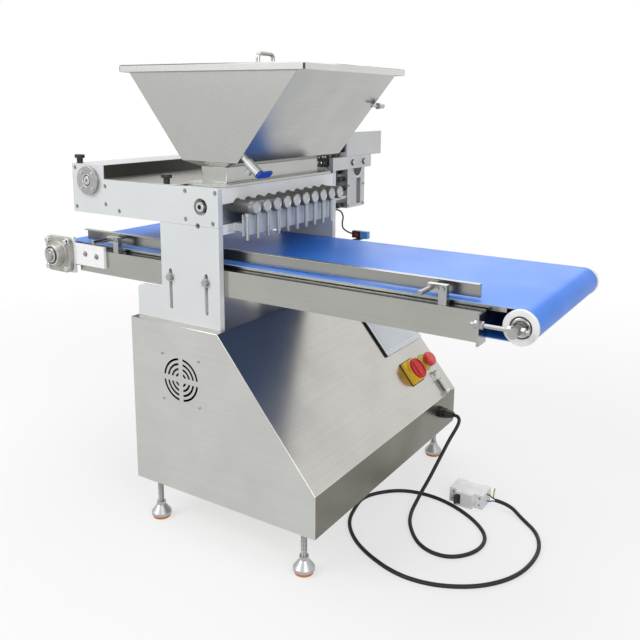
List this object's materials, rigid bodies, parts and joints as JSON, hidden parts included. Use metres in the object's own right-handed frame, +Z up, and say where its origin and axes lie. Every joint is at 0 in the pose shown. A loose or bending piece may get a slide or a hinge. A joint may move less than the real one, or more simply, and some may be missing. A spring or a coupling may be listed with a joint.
{
  "type": "liquid filling machine",
  "caption": "Table-size piston filling machine: funnel hopper and nozzle head on uprights over a belt conveyor, on a sloped stainless cabinet with controls and a mains cord.",
  "frame": {"origin": "middle of the machine's footprint on the floor, without the cord", "axes": "+X along the belt toward its idler end, +Y across the belt toward the controls, +Z up"},
  "size_m": [1.23, 0.73, 1.08],
  "materials": {
    "stainless": "brushed stainless sheet",
    "white_plate": "satin clear anodised",
    "white_cover": "smooth white",
    "grey_cover": "satin grey",
    "machined_steel": "ground",
    "aluminium": "machined",
    "cast_grey": "cast, grey coat",
    "belt_blue": "smooth food belt",
    "white_plastic": "smooth",
    "black_plastic": "fine grain",
    "red_plastic": "glossy",
    "yellow_plastic": "glossy",
    "blue_handle": "dipped plastic",
    "orange_pad": "soft pad",
    "screen_glass": "smooth touch glass",
    "cord_black": "smooth cord sheath",
    "core_blue": "core insulation",
    "motor_grey": "dark motor paint"
  },
  "bodies": {
    "machine": {"cabinet_shell": "stainless", "foot_posts": "stainless", "hopper": "stainless", "hopper_fittings": "stainless", "drip_plate": "stainless", "outlet_tubes": "stainless", "outlet_caps": "stainless", "nozzles": "stainless", "valve_block": "stainless", "uprights": "white_plate", "head_plates": "white_plate", "drive_cover": "white_cover", "piston_cover": "grey_cover", "valve_box": "grey_cover", "control_gear": "grey_cover", "frame_screws": "machined_steel", "shaft_bearings": "machined_steel", "head_ties": "aluminium", "piston_cylinders": "aluminium", "actuator_body": "aluminium", "actuator_bracket": "aluminium", "breaker_body": "white_plastic", "hmi_bezel": "black_plastic", "cable_gland": "black_plastic", "pneumatics": "black_plastic", "fan_frame": "black_plastic", "switch_bases": "yellow_plastic", "foot_pads": "orange_pad", "hmi_screen": "screen_glass", "supply_cord": "cord_black", "supply_cores": "core_blue", "servo_motor": "motor_grey"},
    "conveyor": {"conveyor_rails": "stainless", "belt": "belt_blue", "belt_bed": "stainless", "drive_brackets": "white_cover", "roller_bearings": "cast_grey", "conveyor_motor": "motor_grey", "conveyor_hardware": "machined_steel", "photo_sensor": "black_plastic"},
    "belt_drive": {"drive_roller": "machined_steel"},
    "idler": {"idler_roller": "white_plastic"},
    "near_guide": {"guide_near": "stainless"},
    "piston_set": {"piston_crossbar": "aluminium", "pistons": "machined_steel"},
    "pinion_shaft": {"drive_shaft": "machined_steel"},
    "spool": {"valve_spool": "machined_steel"},
    "spool_rack": {"actuator_rack": "machined_steel"},
    "lid": {"hopper_lid": "stainless"},
    "drain_handle": {"drain_lever": "blue_handle"},
    "switch": {"switch_knob": "red_plastic"},
    "emergency_stop": {"estop_head": "red_plastic"},
    "latch": {"latch_lever": "machined_steel"},
    "fan": {"fan_rotor": "red_plastic"},
    "breaker_switch": {"breaker_toggle": "black_plastic"},
    "back_near_knob": {"knob_back_near": "black_plastic"},
    "back_far_knob": {"knob_back_far": "black_plastic"},
    "front_near_knob": {"knob_front_near": "black_plastic"},
    "front_far_knob": {"knob_front_far": "black_plastic"}
  },
  "joints": [
    {"name": "conveyor_height", "type": "slide", "parent": "machine", "child": "conveyor", "axis": [0, 0, 1], "range_m": [-0.06, 0.012]},
    {"name": "belt_drive_turn", "type": "hinge", "parent": "conveyor", "child": "belt_drive", "pos_m": [-0.556, -0.103, 0.602], "axis": [0, 1, 0], "continuous": true},
    {"name": "idler_turn", "type": "hinge", "parent": "conveyor", "child": "idler", "pos_m": [0.5835, -0.103, 0.602], "axis": [0, 1, 0], "continuous": true},
    {"name": "near_guide_slide", "type": "slide", "parent": "conveyor", "child": "near_guide", "axis": [0, 1, 0], "range_m": [-0.02, 0.018]},
    {"name": "piston_stroke", "type": "slide", "parent": "machine", "child": "piston_set", "axis": [-1, 0, 0], "range_m": [0, 0.036]},
    {"name": "pinion_turn", "type": "hinge", "parent": "machine", "child": "pinion_shaft", "pos_m": [-0.436, -0.103, 0.788], "axis": [0, 1, 0], "range_deg": [0, 103.2]},
    {"name": "valve_turn", "type": "hinge", "parent": "machine", "child": "spool", "pos_m": [-0.1, -0.103, 0.753], "axis": [0, -1, 0], "range_deg": [0, 90]},
    {"name": "spool_rack_slide", "type": "slide", "parent": "machine", "child": "spool_rack", "axis": [0, 0, -1], "range_m": [0, 0.01885]},
    {"name": "lid_lift", "type": "slide", "parent": "machine", "child": "lid", "axis": [0, 0, 1], "range_m": [0, 0.25]},
    {"name": "drain_turn", "type": "hinge", "parent": "machine", "child": "drain_handle", "pos_m": [0.02358, -0.293, 0.82555], "axis": [0.7774, 0, -0.629], "range_deg": [0, 90]},
    {"name": "switch_turn", "type": "hinge", "parent": "machine", "child": "switch", "pos_m": [0.1398, 0.206, 0.27367], "axis": [-0.7667, 0, -0.642], "range_deg": [0, 90]},
    {"name": "stop_push", "type": "slide", "parent": "machine", "child": "emergency_stop", "axis": [-0.7667, 0, -0.642], "range_m": [0, 0.005], "stiffness_N_per_m": 2000},
    {"name": "latch_turn", "type": "hinge", "parent": "machine", "child": "latch", "pos_m": [0.20552, 0.299, 0.20609], "axis": [0, 1, 0], "range_deg": [0, 110]},
    {"name": "fan_turn", "type": "hinge", "parent": "machine", "child": "fan", "pos_m": [-0.148, -0.343, 0.37], "axis": [0, 1, 0], "continuous": true},
    {"name": "breaker_turn", "type": "hinge", "parent": "machine", "child": "breaker_switch", "pos_m": [0.327, 0.1035, 0.018], "axis": [0, 0, 1], "range_deg": [0, 60]},
    {"name": "back_near_knob_turn", "type": "hinge", "parent": "machine", "child": "back_near_knob", "pos_m": [-0.473, -0.326, 0.825], "axis": [0, 0, 1], "continuous": true},
    {"name": "back_far_knob_turn", "type": "hinge", "parent": "machine", "child": "back_far_knob", "pos_m": [-0.473, 0.12, 0.825], "axis": [0, 0, 1], "continuous": true},
    {"name": "front_near_knob_turn", "type": "hinge", "parent": "machine", "child": "front_near_knob", "pos_m": [-0.2, -0.326, 0.795], "axis": [0, 0, 1], "continuous": true},
    {"name": "front_far_knob_turn", "type": "hinge", "parent": "machine", "child": "front_far_knob", "pos_m": [-0.2, 0.12, 0.795], "axis": [0, 0, 1], "continuous": true}
  ],
  "couplings": [
    {"joint": "idler_turn", "follows": "belt_drive_turn", "ratio": 1},
    {"joint": "pinion_turn", "follows": "piston_stroke", "rad_per_m": 50},
    {"joint": "valve_turn", "follows": "spool_rack_slide", "rad_per_m": 83.333}
  ]
}
